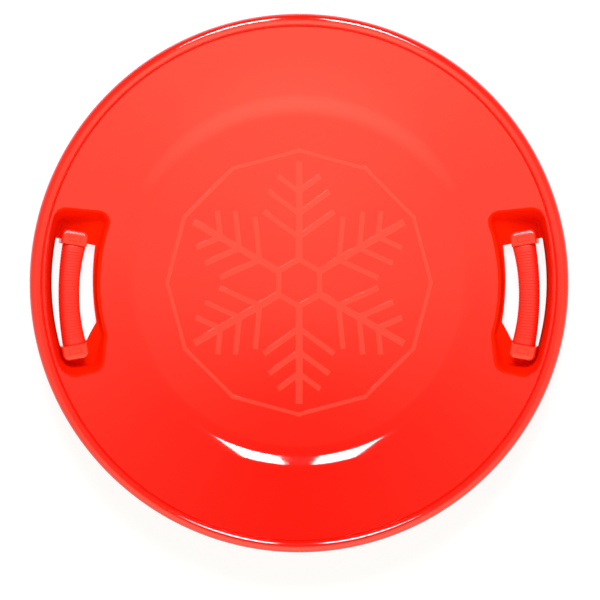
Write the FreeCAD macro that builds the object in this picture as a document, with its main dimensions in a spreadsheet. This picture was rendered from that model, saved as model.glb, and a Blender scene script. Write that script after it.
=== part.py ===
import FreeCAD, Part
import Sketcher
import math
import os

# Saucer sled: one moulded dish with a rolled rim and two hand bays, and a grip handle in each bay.
# Frame: origin on the ground under the middle of the dish, +Z up, +Y to the front, +X to the rider's right.

doc = FreeCAD.newDocument("saucer_sled")

# Driving dimensions in millimetres and degrees.
SIZES = {
    # Dish
    "overall_diameter": "665",
    "overall_height": "85",
    "shell_wall": "3",
    "wall_reach": "109",
    "seat_bend_radius": "50",
    "rim_bead_width": "15.5",
    "rim_crown_radius": "11",
    "rim_flank_draft": "25",
    "rim_skirt_drop": "5",
    # Hand bays: a tilted floor inside drafted walls, with a slot through it for the fingers
    "bay_setback_angle": "2.8",
    "bay_rim_land": "5.5",
    "bay_inner_depth": "14",
    "bay_tilt": "14",
    "bay_draft": "16",
    "bay_width": "53.6",
    "bay_front_room": "15",
    "bay_rear_room": "10.5",
    "bay_relief_inset": "8",
    "bay_relief_angle": "33",
    "bay_corner_round": "6",
    "bay_rear_round": "15",
    "bay_edge_chamfer": "3",
    "slot_relief_length": "10",
    "slot_relief_width": "16",
    # Handle bar: a curved core on two legs, each with a tongue and a hook under the bay's floor
    "bar_offset": "2.4",
    "bar_lift": "16.5",
    "core_width": "15",
    "core_height": "11",
    "leg_start": "7.5",
    "leg_length": "6",
    "leg_margin": "5",
    "tongue_width": "10",
    "tongue_drop": "8",
    "hook_reach": "1.4",
    # Grip sleeve
    "grip_length": "125",
    "grip_width": "26",
    "grip_height": "20",
    "grip_chamfer": "6",
    # End caps over the legs
    "cap_width": "32",
    "cap_length": "18.5",
    "cap_proud": "3",
    "cap_overhang": "3",
    "cap_wall": "2.4",
    "cap_shoulder_round": "7",
    "cap_edge_chamfer": "2.5",
    "cap_panel_width": "15",
    "cap_panel_length": "6.5",
    "cap_panel_depth": "0.6",
    # Fits and cuts
    "fit_clearance": "0.2",
    "overrun": "5",
}

# Values that follow from the driving dimensions.
DERIVED = {
    # Dish
    "rim_radius": "Sizes.overall_diameter / 2",
    "bead_half": "Sizes.rim_bead_width / 2",
    "bead_middle": "rim_radius - bead_half",
    "crease_radius": "rim_radius - Sizes.rim_bead_width",
    "crown_half": "Sizes.rim_crown_radius * sin(Sizes.rim_flank_draft)",
    "crown_rise": "Sizes.rim_crown_radius * (1 - cos(Sizes.rim_flank_draft))",
    "flank_top": "Sizes.overall_height - crown_rise",
    "bead_level": "flank_top - (bead_half - crown_half) / tan(Sizes.rim_flank_draft)",
    "seat_radius": "crease_radius - Sizes.wall_reach",
    "bend_level": "Sizes.shell_wall + Sizes.seat_bend_radius",
    "wall_rise": "bead_level - bend_level",
    "wall_angle": "atan2(wall_rise; Sizes.wall_reach)"
    " + asin(Sizes.seat_bend_radius / hypot(Sizes.wall_reach; wall_rise))",
    "under_bend": "Sizes.seat_bend_radius + Sizes.shell_wall",
    # Channel under the rim, one wall inside its flanks and crown
    "flank_wall": "Sizes.shell_wall / cos(Sizes.rim_flank_draft)",
    "channel_top": "Sizes.overall_height - Sizes.shell_wall",
    "channel_half": "bead_half - flank_wall - (channel_top - bead_level) * tan(Sizes.rim_flank_draft)",
    "wall_drop": "Sizes.shell_wall / cos(wall_angle)",
    "channel_in": "(flank_wall - wall_drop * tan(Sizes.rim_flank_draft))"
    " / (1 - tan(wall_angle) * tan(Sizes.rim_flank_draft))",
    # Hand bays, in a frame whose Z axis is the axis of the bar's arc, square to the bay's floor
    "bay_half": "Sizes.bay_width / 2",
    "bay_middle_radius": "crease_radius - Sizes.bay_rim_land - bay_half * cos(Sizes.bay_tilt)",
    "bay_inner_run": "Sizes.bay_rim_land + Sizes.bay_width * cos(Sizes.bay_tilt)",
    "bay_floor_height": "bead_level - bay_inner_run * tan(wall_angle) - Sizes.bay_inner_depth"
    " + bay_half * sin(Sizes.bay_tilt)",
    "bay_middle": "bay_middle_radius * cos(Sizes.bay_tilt)",
    "bay_axis_out": "bay_middle_radius * pow(sin(Sizes.bay_tilt); 2)",
    "bay_axis_height": "bay_floor_height - bay_middle * sin(Sizes.bay_tilt)",
    "bay_inside": "bay_middle - bay_half",
    "bay_outside": "bay_middle + bay_half",
    "bay_wall_top": "(bead_level - bay_floor_height) / cos(Sizes.bay_tilt) - bay_half * tan(Sizes.bay_tilt)",
    "bay_wall_offset": "Sizes.shell_wall / cos(Sizes.bay_draft)",
    # Handle: the bar's offset is seen from above, so its shift allows for the lift along the tilted axis
    "bar_shift": "(Sizes.bar_offset + Sizes.bar_lift * sin(Sizes.bay_tilt)) / cos(Sizes.bay_tilt)",
    "bar_radius": "bay_middle + bar_shift",
    "degrees_per_length": "180 / pi / bar_radius",
    "cap_angle": "Sizes.grip_length / 2 * degrees_per_length",
    "slot_angle": "cap_angle + Sizes.cap_overhang * degrees_per_length",
    "slot_relief_angle": "slot_angle - Sizes.slot_relief_length * degrees_per_length",
    "core_angle": "cap_angle + (Sizes.leg_start + Sizes.leg_length / 2) * degrees_per_length",
    "sleeve_angle": "cap_angle - Sizes.fit_clearance * degrees_per_length",
    "core_top": "Sizes.bar_lift + Sizes.core_height / 2",
    "core_foot": "Sizes.bar_lift - Sizes.core_height / 2",
    "leg_end": "Sizes.leg_start + Sizes.leg_length",
    "leg_width": "Sizes.cap_width - 2 * (Sizes.cap_wall + Sizes.leg_margin)",
    "cap_height": "Sizes.bar_lift + Sizes.grip_height / 2 + Sizes.cap_proud",
    "cap_reach": "bar_radius * sin(cap_angle) + Sizes.cap_length * cos(cap_angle)",
    # Middles of the rounds at the corners of a bay's floor
    "front_level": "cap_reach + Sizes.bay_front_room - Sizes.bay_corner_round",
    "front_in": "sqrt(pow(bay_inside + Sizes.bay_corner_round; 2) - pow(front_level; 2))",
    "front_out": "sqrt(pow(bay_outside - Sizes.bay_corner_round; 2) - pow(front_level; 2))",
    "rear_level": "cap_reach + Sizes.bay_rear_room - Sizes.bay_rear_round",
    "rear_out": "sqrt(pow(bay_outside - Sizes.bay_rear_round; 2) - pow(rear_level; 2))",
    "relief_level": "cap_reach + Sizes.bay_rear_room - Sizes.bay_corner_round",
    "relief_in": "bay_inside + Sizes.bay_relief_inset"
    " + Sizes.bay_corner_round * tan(45 - Sizes.bay_relief_angle / 2)",
    "relief_along": "relief_in * sin(Sizes.bay_relief_angle) + relief_level * cos(Sizes.bay_relief_angle)",
    "relief_square": "pow(relief_in; 2) + pow(relief_level; 2) - pow(bay_inside + Sizes.bay_corner_round; 2)",
    "relief_length": "relief_along - sqrt(pow(relief_along; 2) - relief_square)",
    "wrist_in": "relief_in - relief_length * sin(Sizes.bay_relief_angle)",
    "wrist_level": "relief_level - relief_length * cos(Sizes.bay_relief_angle)",
}


def fill_sheet(name, cells, prefix):
    """Write one row per value, with its name beside it and as the cell's alias."""
    sheet = doc.addObject("Spreadsheet::Sheet", name)
    for row, (alias, text) in enumerate(cells.items(), 1):
        sheet.set(f"A{row}", alias)
        sheet.setAlias(f"B{row}", alias)
        sheet.set(f"B{row}", prefix + text)
    doc.recompute()
    return sheet


sizes = fill_sheet("Sizes", SIZES, "")
fill_sheet("Derived", DERIVED, "=")


def value(expression):
    """The present number of an expression in sheet cells."""
    result = sizes.evalExpression(expression)
    return float(getattr(result, "Value", result))


# Sketches


def new_body(label, placement=None):
    body = doc.addObject("PartDesign::Body", label)
    body.Label = label
    if placement:
        body.setExpression("Placement", placement)
    return body


def origin_feature(body, role):
    return next(f for f in body.Origin.OriginFeatures if f.Role == role)


def new_sketch(body, name, plane_role, offset=None):
    """A sketch on one of the body's origin planes, moved by a placement expression."""
    sketch = body.newObject("Sketcher::SketchObject", name)
    sketch.AttachmentSupport = (origin_feature(body, plane_role), [""])
    sketch.MapMode = "FlatFace"
    if offset:
        sketch.setExpression("AttachmentOffset", offset)
    return sketch


def arc_between(start, end, radius, turn):
    """The short arc from start to end; turn is 1 for anticlockwise and -1 for clockwise."""
    chord = end - start
    middle = (start + end) / 2
    height = math.sqrt(max(radius**2 - (chord.Length / 2) ** 2, 0))
    side = FreeCAD.Vector(-chord.y, chord.x, 0) * (turn * height / chord.Length)
    circle = Part.Circle(middle + side, FreeCAD.Vector(0, 0, 1), radius)
    first, last = (start, end) if turn > 0 else (end, start)
    return Part.ArcOfCircle(circle, circle.parameter(first), circle.parameter(last))


def draw(sketch, corners, arcs=None):
    """A closed outline through corners of (x, y) expressions. arcs maps the number of a side, which runs
    from that corner to the next, to its (radius expression, turn); the other sides are straight. Every
    corner and radius is a dimension bound to the sheets."""
    arcs = arcs or {}
    points = [FreeCAD.Vector(value(x), value(y), 0) for x, y in corners]
    ends = []
    for i, start in enumerate(points):
        end = points[(i + 1) % len(points)]
        if i in arcs:
            radius, turn = arcs[i]
            side = sketch.addGeometry(arc_between(start, end, value(radius), turn))
            ends.append((side, 1, 2) if turn > 0 else (side, 2, 1))
        else:
            ends.append((sketch.addGeometry(Part.LineSegment(start, end)), 1, 2))
    for (side, _, last), (following, joint, _) in zip(ends, ends[1:] + ends[:1]):
        sketch.addConstraint(Sketcher.Constraint("Coincident", side, last, following, joint))
    for (side, first, _), (x, y), point in zip(ends, corners, points):
        for kind, axis, text, size in (("DistanceX", -2, x, point.x), ("DistanceY", -1, y, point.y)):
            if text == "0":
                sketch.addConstraint(Sketcher.Constraint("PointOnObject", side, first, axis))
            else:
                index = sketch.addConstraint(Sketcher.Constraint(kind, -1, 1, side, first, size))
                sketch.setExpression(f"Constraints[{index}]", text)
    for i, (radius, _) in arcs.items():
        index = sketch.addConstraint(Sketcher.Constraint("Radius", ends[i][0], value(radius)))
        sketch.setExpression(f"Constraints[{index}]", radius)
    return sketch


def draw_box(sketch, middle, width, low, high):
    """A rectangle of a width about a middle line, between two levels."""
    left, right = f"{middle} - ({width}) / 2", f"{middle} + ({width}) / 2"
    return draw(sketch, [(left, low), (right, low), (right, high), (left, high)])


# Features


def feature(body, kind, name, sketch, **settings):
    """A sketch based feature. Text settings are expressions in sheet cells. It has to add to the body's
    volume, or to take from it where it is a cut."""
    before = body.Shape.Volume if body.Tip else 0
    item = body.newObject(f"PartDesign::{kind}", name)
    item.Profile = sketch
    if kind in ("Revolution", "Groove"):
        item.ReferenceAxis = (sketch, ["V_Axis"])
    for setting, wanted in settings.items():
        if isinstance(wanted, str):
            item.setExpression(setting, wanted)
        else:
            setattr(item, setting, wanted)
    doc.recompute()
    change = body.Shape.Volume - before
    cuts = kind in ("Groove", "Pocket", "SubtractiveLoft")
    if "Invalid" in item.State or (change >= 0 if cuts else change <= 0):
        raise RuntimeError(f"{body.Label}: {name} changed the volume by {change}, {item.getStatusString()}")
    return item


def probe(edge):
    """The ends, the middle and the quarter points of an edge."""
    first, last = edge.ParameterRange
    return [edge.valueAt(first + (last - first) * quarter / 4) for quarter in range(5)]


def chamfer_edges(body, name, chosen, size):
    """Chamfer the edges of the body so far for which chosen(edge) is true."""
    names = [f"Edge{i}" for i, edge in enumerate(body.Tip.Shape.Edges, 1) if chosen(edge)]
    item = body.newObject("PartDesign::Chamfer", name)
    item.Base = (item.BaseFeature, names)
    item.setExpression("Size", size)
    doc.recompute()
    if not names or "Invalid" in item.State or not item.Shape.isValid():
        raise RuntimeError(f"{body.Label}: {name} failed on {len(names)} edges")


TOLERANCE_SHARE = 1e-6
tolerance = TOLERANCE_SHARE * value("Sizes.overall_diameter")


def lies_on(edge, outline):
    return all(Part.Vertex(point).distToShape(outline.Shape)[0] < tolerance for point in probe(edge))


# Frames of the bays and caps

SIDES = {
    # name: direction of the bay seen from above, and the way to the front along the bay's own Y axis
    "right": ("(-Sizes.bay_setback_angle)", 1),
    "left": ("(180 + Sizes.bay_setback_angle)", -1),
}
ENDS = {"front": 1, "rear": -1}


def bay_frame(yaw, lift="0"):
    """A bay's frame, or a plane parallel to its floor at a height lift above it."""
    out = f"(Derived.bay_axis_out - ({lift}) * sin(Sizes.bay_tilt))"
    up = f"Derived.bay_axis_height + ({lift}) * cos(Sizes.bay_tilt)"
    base = f"vector({out} * cos({yaw}); {out} * sin({yaw}); {up})"
    return f"placement({base}; rotation({yaw}; -Sizes.bay_tilt; 0))"


def handle_frame(yaw, front):
    """A handle's frame: its bay's frame, turned about the middle of the grip against the bay's setback, so
    that the handle lies straight along the sled."""
    turn = f"({front} * Sizes.bay_setback_angle)"
    base = f"vector(Derived.bar_radius * (1 - cos({turn})); -Derived.bar_radius * sin({turn}); 0)"
    return f"{bay_frame(yaw)} * placement({base}; rotation(vector(0; 0; 1); {turn}))"


def cap_plane(end, lift="0"):
    """A plane parallel to the bay's floor, turned so that its Y axis points along the bar's end."""
    return f"placement(vector(0; 0; {lift}); rotation(vector(0; 0; 1); {end} * Derived.cap_angle))"


# Dish


def bay_outline(sketch, front, grow):
    """The bay's floor: arcs along both long sides, square ends, and a slanted rear inner corner that
    leaves room for the wrist, all with rounded corners. grow is how far the outline stands outside the
    floor's own edge: the middles of the corner rounds stay, and their radii grow."""
    corner = f"(Sizes.bay_corner_round + {grow})"
    rear = f"(Sizes.bay_rear_round + {grow})"
    inside = f"(Derived.bay_inside - {grow})"
    outside = f"(Derived.bay_outside + {grow})"
    slant = "Sizes.bay_relief_angle"
    to_inside = f"{inside} / (Derived.bay_inside + Sizes.bay_corner_round)"
    to_outside = f"{outside} / (Derived.bay_outside - Sizes.bay_corner_round)"
    to_rear = f"{outside} / (Derived.bay_outside - Sizes.bay_rear_round)"
    corners = [
        (f"Derived.wrist_in * {to_inside}", f"{-front} * Derived.wrist_level * {to_inside}"),
        (f"Derived.front_in * {to_inside}", f"{front} * Derived.front_level * {to_inside}"),
        ("Derived.front_in", f"{front} * (Derived.front_level + {corner})"),
        ("Derived.front_out", f"{front} * (Derived.front_level + {corner})"),
        (f"Derived.front_out * {to_outside}", f"{front} * Derived.front_level * {to_outside}"),
        (f"Derived.rear_out * {to_rear}", f"{-front} * Derived.rear_level * {to_rear}"),
        ("Derived.rear_out", f"{-front} * (Derived.rear_level + {rear})"),
        ("Derived.relief_in", f"{-front} * (Derived.relief_level + {corner})"),
        (
            f"Derived.relief_in - {corner} * cos({slant})",
            f"{-front} * (Derived.relief_level + {corner} * sin({slant}))",
        ),
        (
            f"Derived.wrist_in - {corner} * cos({slant})",
            f"{-front} * (Derived.wrist_level + {corner} * sin({slant}))",
        ),
    ]
    arcs = {side: (corner, -front) for side in (1, 3, 7, 9)}
    arcs.update({0: (inside, front), 4: (outside, -front), 5: (rear, -front)})
    return draw(sketch, corners, arcs)


def drafted_bay(body, kind, name, side, foot, top, offset):
    """The bay's walls, leaning out by the draft angle from the level foot to the level top. offset is how
    far they stand outside the hollow of the bay."""
    yaw, front = SIDES[side]
    sketches = []
    for place, level in (("foot", foot), ("top", top)):
        sketch = new_sketch(body, f"{side}_{name}_{place}", "XY_Plane", bay_frame(yaw, level))
        sketches.append(bay_outline(sketch, front, f"({offset} + ({level}) * tan(Sizes.bay_draft))"))
    feature(body, kind, f"{side}_{name}", sketches[0], Sections=sketches[1:], Ruled=True)


def slot_outline(sketch, front):
    """The hand slot: the bay's full width between radial ends, with a slanted rear inner corner."""
    inside, outside, end = "Derived.bay_inside", "Derived.bay_outside", "Derived.slot_angle"
    relief = "Derived.slot_relief_angle"
    slant = f"({inside} + Sizes.slot_relief_width)"
    corners = [
        (f"{inside} * cos({relief})", f"{-front} * {inside} * sin({relief})"),
        (f"{inside} * cos({end})", f"{front} * {inside} * sin({end})"),
        (f"{outside} * cos({end})", f"{front} * {outside} * sin({end})"),
        (f"{outside} * cos({end})", f"{-front} * {outside} * sin({end})"),
        (f"{slant} * cos({end})", f"{-front} * {slant} * sin({end})"),
    ]
    return draw(sketch, corners, {0: (inside, front), 2: (outside, -front)})


def make_shell():
    """A blank with the true underside and the bays' walls under it, with the seat and the bays cut from
    above, so that the wall is even all over."""
    shell = new_body("saucer_shell")

    def bend_end(radius):
        """Where a bend of this radius about the edge of the flat seat runs into the sloping wall."""
        out = f"Derived.seat_radius + {radius} * sin(Derived.wall_angle)"
        return out, f"Derived.bend_level - {radius} * cos(Derived.wall_angle)"

    under_end = bend_end("Derived.under_bend")
    seat_end = bend_end("Sizes.seat_bend_radius")
    channel_in = "Derived.crease_radius + Derived.channel_in"
    channel_foot = "Derived.bead_level - Derived.wall_drop + Derived.channel_in * tan(Derived.wall_angle)"
    skirt_in = "Derived.rim_radius - Derived.flank_wall"
    skirt_foot = "Derived.bead_level - Sizes.rim_skirt_drop"
    flank_top = "Derived.bead_middle - Derived.crown_half", "Derived.flank_top"
    blank = [
        ("0", "0"),
        ("Derived.seat_radius", "0"),
        under_end,
        (channel_in, channel_foot),
        ("Derived.bead_middle - Derived.channel_half", "Derived.channel_top"),
        ("Derived.bead_middle + Derived.channel_half", "Derived.channel_top"),
        (skirt_in, "Derived.bead_level"),
        (skirt_in, skirt_foot),
        ("Derived.rim_radius", skirt_foot),
        ("Derived.rim_radius", "Derived.bead_level"),
        ("Derived.bead_middle + Derived.crown_half", "Derived.flank_top"),
        flank_top,
        ("0", "Derived.flank_top"),
    ]
    arcs = {1: ("Derived.under_bend", 1), 10: ("Sizes.rim_crown_radius", 1)}
    sketch = draw(new_sketch(shell, "blank_profile", "YZ_Plane"), blank, arcs)
    feature(shell, "Revolution", "blank", sketch, Angle=360.0)

    for side in SIDES:
        foot, top = "-Sizes.shell_wall", "Derived.bay_wall_top"
        drafted_bay(shell, "AdditiveLoft", "bucket", side, foot, top, "Derived.bay_wall_offset")

    hollow = [
        ("0", "Sizes.shell_wall"),
        ("Derived.seat_radius", "Sizes.shell_wall"),
        seat_end,
        ("Derived.crease_radius", "Derived.bead_level"),
        flank_top,
        (flank_top[0], "Derived.flank_top + Sizes.overrun"),
        ("0", "Derived.flank_top + Sizes.overrun"),
    ]
    sketch = new_sketch(shell, "hollow_profile", "YZ_Plane")
    draw(sketch, hollow, {1: ("Sizes.seat_bend_radius", 1)})
    feature(shell, "Groove", "hollow", sketch, Angle=360.0)

    through = "Sizes.shell_wall + Sizes.overrun"
    for side, (yaw, front) in SIDES.items():
        drafted_bay(shell, "SubtractiveLoft", "bay", side, "0", "Derived.bay_wall_top + Sizes.overrun", "0")
        sketch = new_sketch(shell, f"{side}_slot_plan", "XY_Plane", bay_frame(yaw))
        slot_outline(sketch, front)
        feature(shell, "Pocket", f"{side}_slot", sketch, Length=through)

    seat_reach = value(seat_end[0])
    slope = math.tan(math.radians(value("Derived.wall_angle")))

    def seat_level(radius):
        """The height of the dish's upper face at a radius: flat, then the bend, then the sloping wall."""
        if radius > seat_reach:
            return value(seat_end[1]) + (radius - seat_reach) * slope
        out = max(radius - value("Derived.seat_radius"), 0)
        return value("Derived.bend_level") - math.sqrt(value("Sizes.seat_bend_radius") ** 2 - out**2)

    def at_bay_mouth(edge):
        beside = abs(edge.CenterOfMass.x) > value("Derived.seat_radius") / 2
        return beside and all(abs(seat_level(math.hypot(p.x, p.y)) - p.z) < tolerance for p in probe(edge))

    chamfer_edges(shell, "bay_mouth_edge", at_bay_mouth, "Sizes.bay_edge_chamfer")

    hole_width = "Sizes.tongue_width + 2 * Sizes.fit_clearance"
    for side, (yaw, front) in SIDES.items():
        for place, way in ENDS.items():
            end = way * front
            offset = f"{handle_frame(yaw, front)} * {cap_plane(end)}"
            sketch = new_sketch(shell, f"{side}_{place}_hole_plan", "XY_Plane", offset)
            near = f"{end} * (Sizes.leg_start - Sizes.hook_reach - Sizes.fit_clearance)"
            far = f"{end} * (Derived.leg_end + Sizes.fit_clearance)"
            draw_box(sketch, "Derived.bar_radius", hole_width, near, far)
            feature(shell, "Pocket", f"{side}_{place}_hole", sketch, Length=through)
    return shell


# Handles


def make_bar(label, frame, front):
    """The handle's core, bent to the dish's round, on two legs that snap through the bay's floor."""
    bar = new_body(label, frame)
    sketch = new_sketch(bar, f"{label}_core_section", "XZ_Plane")
    draw_box(sketch, "Derived.bar_radius", "Sizes.core_width", "Derived.core_foot", "Derived.core_top")
    feature(bar, "Revolution", f"{label}_core", sketch, Angle="2 * Derived.core_angle", Midplane=True)
    hook_top = "-(Sizes.shell_wall + Sizes.fit_clearance)"
    for place, way in ENDS.items():
        end = way * front
        near, far = f"{end} * Sizes.leg_start", f"{end} * Derived.leg_end"
        leg = new_sketch(bar, f"{label}_{place}_leg_plan", "XY_Plane", cap_plane(end))
        draw_box(leg, "Derived.bar_radius", "Derived.leg_width", near, far)
        feature(bar, "Pad", f"{label}_{place}_leg", leg, Length="Derived.core_top")
        tongue = new_sketch(bar, f"{label}_{place}_tongue_plan", "XY_Plane", cap_plane(end))
        draw_box(tongue, "Derived.bar_radius", "Sizes.tongue_width", near, far)
        feature(bar, "Pad", f"{label}_{place}_tongue", tongue, Length="Sizes.tongue_drop", Reversed=True)
        hook = new_sketch(bar, f"{label}_{place}_hook_plan", "XY_Plane", cap_plane(end, hook_top))
        tip = f"{end} * (Derived.leg_end + Sizes.hook_reach)"
        draw_box(hook, "Derived.bar_radius", "Sizes.tongue_width", near, tip)
        hook_height = f"Sizes.tongue_drop + {hook_top}"
        feature(bar, "Pad", f"{label}_{place}_hook", hook, Length=hook_height, Reversed=True)
    return bar


def make_sleeve(label, frame):
    """The grip: a tube on the bar's core, with its four long corners chamfered to fit the hand."""
    sleeve = new_body(label, frame)
    sketch = new_sketch(sleeve, f"{label}_section", "XZ_Plane")
    corners = []
    for sx, sy in ((1, -1), (1, 1), (-1, 1), (-1, -1)):
        x = f"Derived.bar_radius + {sx} * Sizes.grip_width / 2"
        y = f"Sizes.bar_lift + {sy} * Sizes.grip_height / 2"
        on_side = (x, f"{y} - {sy} * Sizes.grip_chamfer")
        on_end = (f"{x} - {sx} * Sizes.grip_chamfer", y)
        corners += [on_end, on_side] if sx * sy < 0 else [on_side, on_end]
    draw(sketch, corners)
    bore_foot = "Derived.core_foot - Sizes.fit_clearance"
    bore_top = "Derived.core_top + Sizes.fit_clearance"
    bore_width = "Sizes.core_width + 2 * Sizes.fit_clearance"
    draw_box(sketch, "Derived.bar_radius", bore_width, bore_foot, bore_top)
    feature(sleeve, "Revolution", f"{label}_tube", sketch, Angle="2 * Derived.sleeve_angle", Midplane=True)
    return sleeve


def cap_outline(sketch, end, inset):
    """The cap seen from above: square on the grip's side and rounded at the far corners. inset is how far
    inside the cap's outer faces the outline lies."""
    half = f"(Sizes.cap_width / 2 - {inset})"
    corner = f"(Sizes.cap_shoulder_round - {inset})"
    across = "(Sizes.cap_width / 2 - Sizes.cap_shoulder_round)"
    along = f"{end} * (Sizes.cap_length - Sizes.cap_shoulder_round)"
    near = "0" if inset == "0" else f"{end} * {inset}"
    far = f"{end} * (Sizes.cap_length - {inset})"
    middle = "Derived.bar_radius"
    corners = [
        (f"{middle} - {half}", near),
        (f"{middle} + {half}", near),
        (f"{middle} + {half}", along),
        (f"{middle} + {across}", far),
        (f"{middle} - {across}", far),
        (f"{middle} - {half}", along),
    ]
    return draw(sketch, corners, {2: (corner, end), 4: (corner, end)})


def make_cap(label, frame, end):
    """A thin cover that drops over the bar's leg and stands on the bay's floor. It is open below, and
    notched on the grip's side for the bar's core."""
    cap = new_body(label, frame)
    plan = cap_outline(new_sketch(cap, f"{label}_plan", "XY_Plane", cap_plane(end)), end, "0")
    feature(cap, "Pad", f"{label}_block", plan, Length="Derived.cap_height")
    top = new_sketch(cap, f"{label}_top_plan", "XY_Plane", cap_plane(end, "Derived.cap_height"))
    cap_outline(top, end, "0")
    doc.recompute()
    grip_side = top.Shape.Edges[0]

    def at_top(edge):
        beside_grip = Part.Vertex(edge.CenterOfMass).distToShape(grip_side)[0] < tolerance
        return lies_on(edge, top) and not beside_grip

    chamfer_edges(cap, f"{label}_edge", at_top, "Sizes.cap_edge_chamfer")
    inside_top = "Derived.cap_height - Sizes.cap_wall"
    inside = new_sketch(cap, f"{label}_inside_plan", "XY_Plane", cap_plane(end, inside_top))
    cap_outline(inside, end, "Sizes.cap_wall")
    feature(cap, "Pocket", f"{label}_hollow", inside, Length=f"{inside_top} + Sizes.overrun")

    notch_top = "Derived.core_top + Sizes.fit_clearance"
    notch = new_sketch(cap, f"{label}_notch_plan", "XY_Plane", cap_plane(end, notch_top))
    notch_width = "Sizes.core_width + 2 * Sizes.fit_clearance"
    reach = f"{end} * (Sizes.cap_wall + Sizes.fit_clearance)"
    draw_box(notch, "Derived.bar_radius", notch_width, f"{-end} * Sizes.overrun", reach)
    feature(cap, "Pocket", f"{label}_notch", notch, Length=f"{notch_top} + Sizes.overrun")

    panel = new_sketch(cap, f"{label}_panel_plan", "XY_Plane", cap_plane(end, "Derived.cap_height"))
    panel_middle = "(Sizes.cap_length - Sizes.cap_edge_chamfer) / 2"
    low = f"{end} * ({panel_middle} - Sizes.cap_panel_length / 2)"
    high = f"{end} * ({panel_middle} + Sizes.cap_panel_length / 2)"
    draw_box(panel, "Derived.bar_radius", "Sizes.cap_panel_width", low, high)
    feature(cap, "Pocket", f"{label}_panel", panel, Length="Sizes.cap_panel_depth")
    return cap


pieces = [make_shell()]
for side, (yaw, front) in SIDES.items():
    frame = handle_frame(yaw, front)
    pieces.append(make_bar(f"{side}_handle_bar", frame, front))
    pieces.append(make_sleeve(f"{side}_grip_sleeve", frame))
    for place, way in ENDS.items():
        pieces.append(make_cap(f"{side}_{place}_cap", frame, way * front))

doc.recompute()
for item in doc.Objects:
    if {"Invalid", "Error"} & set(item.State):
        raise RuntimeError(f"{item.Name}: {item.getStatusString()}")
for piece in pieces:
    if piece.Shape.isNull() or not piece.Shape.isValid() or len(piece.Shape.Solids) != 1:
        raise RuntimeError(f"{piece.Label} isn't one valid solid")

os.makedirs("parts", exist_ok=True)
for piece in pieces:
    piece.Shape.exportStep(f"parts/{piece.Label}.step")
    print(piece.Label, round(piece.Shape.Volume), "cubic millimetres")
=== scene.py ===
import bmesh
import bpy
import numpy as np
from mathutils import Matrix, Vector


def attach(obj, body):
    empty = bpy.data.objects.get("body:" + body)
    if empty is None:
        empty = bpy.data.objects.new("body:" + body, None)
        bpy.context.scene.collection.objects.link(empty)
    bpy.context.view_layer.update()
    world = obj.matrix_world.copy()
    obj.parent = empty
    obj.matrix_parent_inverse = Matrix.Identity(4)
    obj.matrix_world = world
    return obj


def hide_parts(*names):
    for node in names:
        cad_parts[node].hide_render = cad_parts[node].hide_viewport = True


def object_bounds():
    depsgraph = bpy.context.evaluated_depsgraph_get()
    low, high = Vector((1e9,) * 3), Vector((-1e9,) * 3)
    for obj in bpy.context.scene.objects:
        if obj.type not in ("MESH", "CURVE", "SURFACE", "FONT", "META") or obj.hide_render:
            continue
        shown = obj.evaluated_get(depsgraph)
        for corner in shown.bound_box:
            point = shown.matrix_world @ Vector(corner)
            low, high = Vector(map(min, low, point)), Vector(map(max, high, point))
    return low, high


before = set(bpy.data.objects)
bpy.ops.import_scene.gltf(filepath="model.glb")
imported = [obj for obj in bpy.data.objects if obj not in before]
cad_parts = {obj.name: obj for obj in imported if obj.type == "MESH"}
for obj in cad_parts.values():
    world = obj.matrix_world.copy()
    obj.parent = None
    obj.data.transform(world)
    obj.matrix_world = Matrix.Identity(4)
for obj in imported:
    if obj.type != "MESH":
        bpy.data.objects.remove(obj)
cad_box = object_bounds()

# The dish is one injection moulding in glossy red plastic, 3 mm thick all over. Its flat seat turns up
# through a wide bend into a sloping wall, and the rim is rolled over into a bead with a short skirt.
# A drafted hand bay is moulded into the wall on each side, with a slot through its tilted floor.
rim_radius, rim_top = cad_box[1].x, cad_box[1].z
dish_wall = 0.003
seat_radius = 0.208
bend_radius = 0.050
crease_radius = 0.317
crease_round = 0.002
skirt_drop = 0.005
bead_radius = (rim_radius - crease_radius) / 2
bead_middle = rim_radius - bead_radius
bead_level = rim_top - bead_radius
bend_level = dish_wall + bend_radius
wall_reach, wall_rise = crease_radius - seat_radius, bead_level - bend_level
wall_angle = np.arctan2(wall_rise, wall_reach) + np.arcsin(bend_radius / np.hypot(wall_reach, wall_rise))
under_drop = dish_wall / np.cos(wall_angle)

# The seat's sheen leans in by the first angle at its edge. The wall's goes from the second angle under the
# wall's own slope to as much over it.
seat_hollow, wall_hollow = np.radians(5.5), np.radians(3)

bay_setback = np.radians(2.8)
bay_tilt = np.radians(14)
bay_draft = np.radians(16)
bay_rim_land = 0.0055
bay_width = 0.0536
bay_inner_depth = 0.014
bay_front, bay_rear = 0.0945, 0.0880
bay_corner, bay_rear_corner = 0.006, 0.015
wrist_inset, wrist_slant = 0.0045, np.radians(16)
slot_front_turn, slot_rear_turn = np.radians(13.75), np.radians(12.6)
slot_slant_turn, slot_slant_width = np.radians(8.4), 0.0165
slot_ledge, slot_flattening = 0.0015, 0.1

# Where a round of the bay has little room, it takes only its share of that room.
mouth_round, mouth_share = 0.003, 0.8
foot_round, foot_share = 0.004, 1 / 3
edge_round, edge_share = 0.0005, 1 / 6

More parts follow.
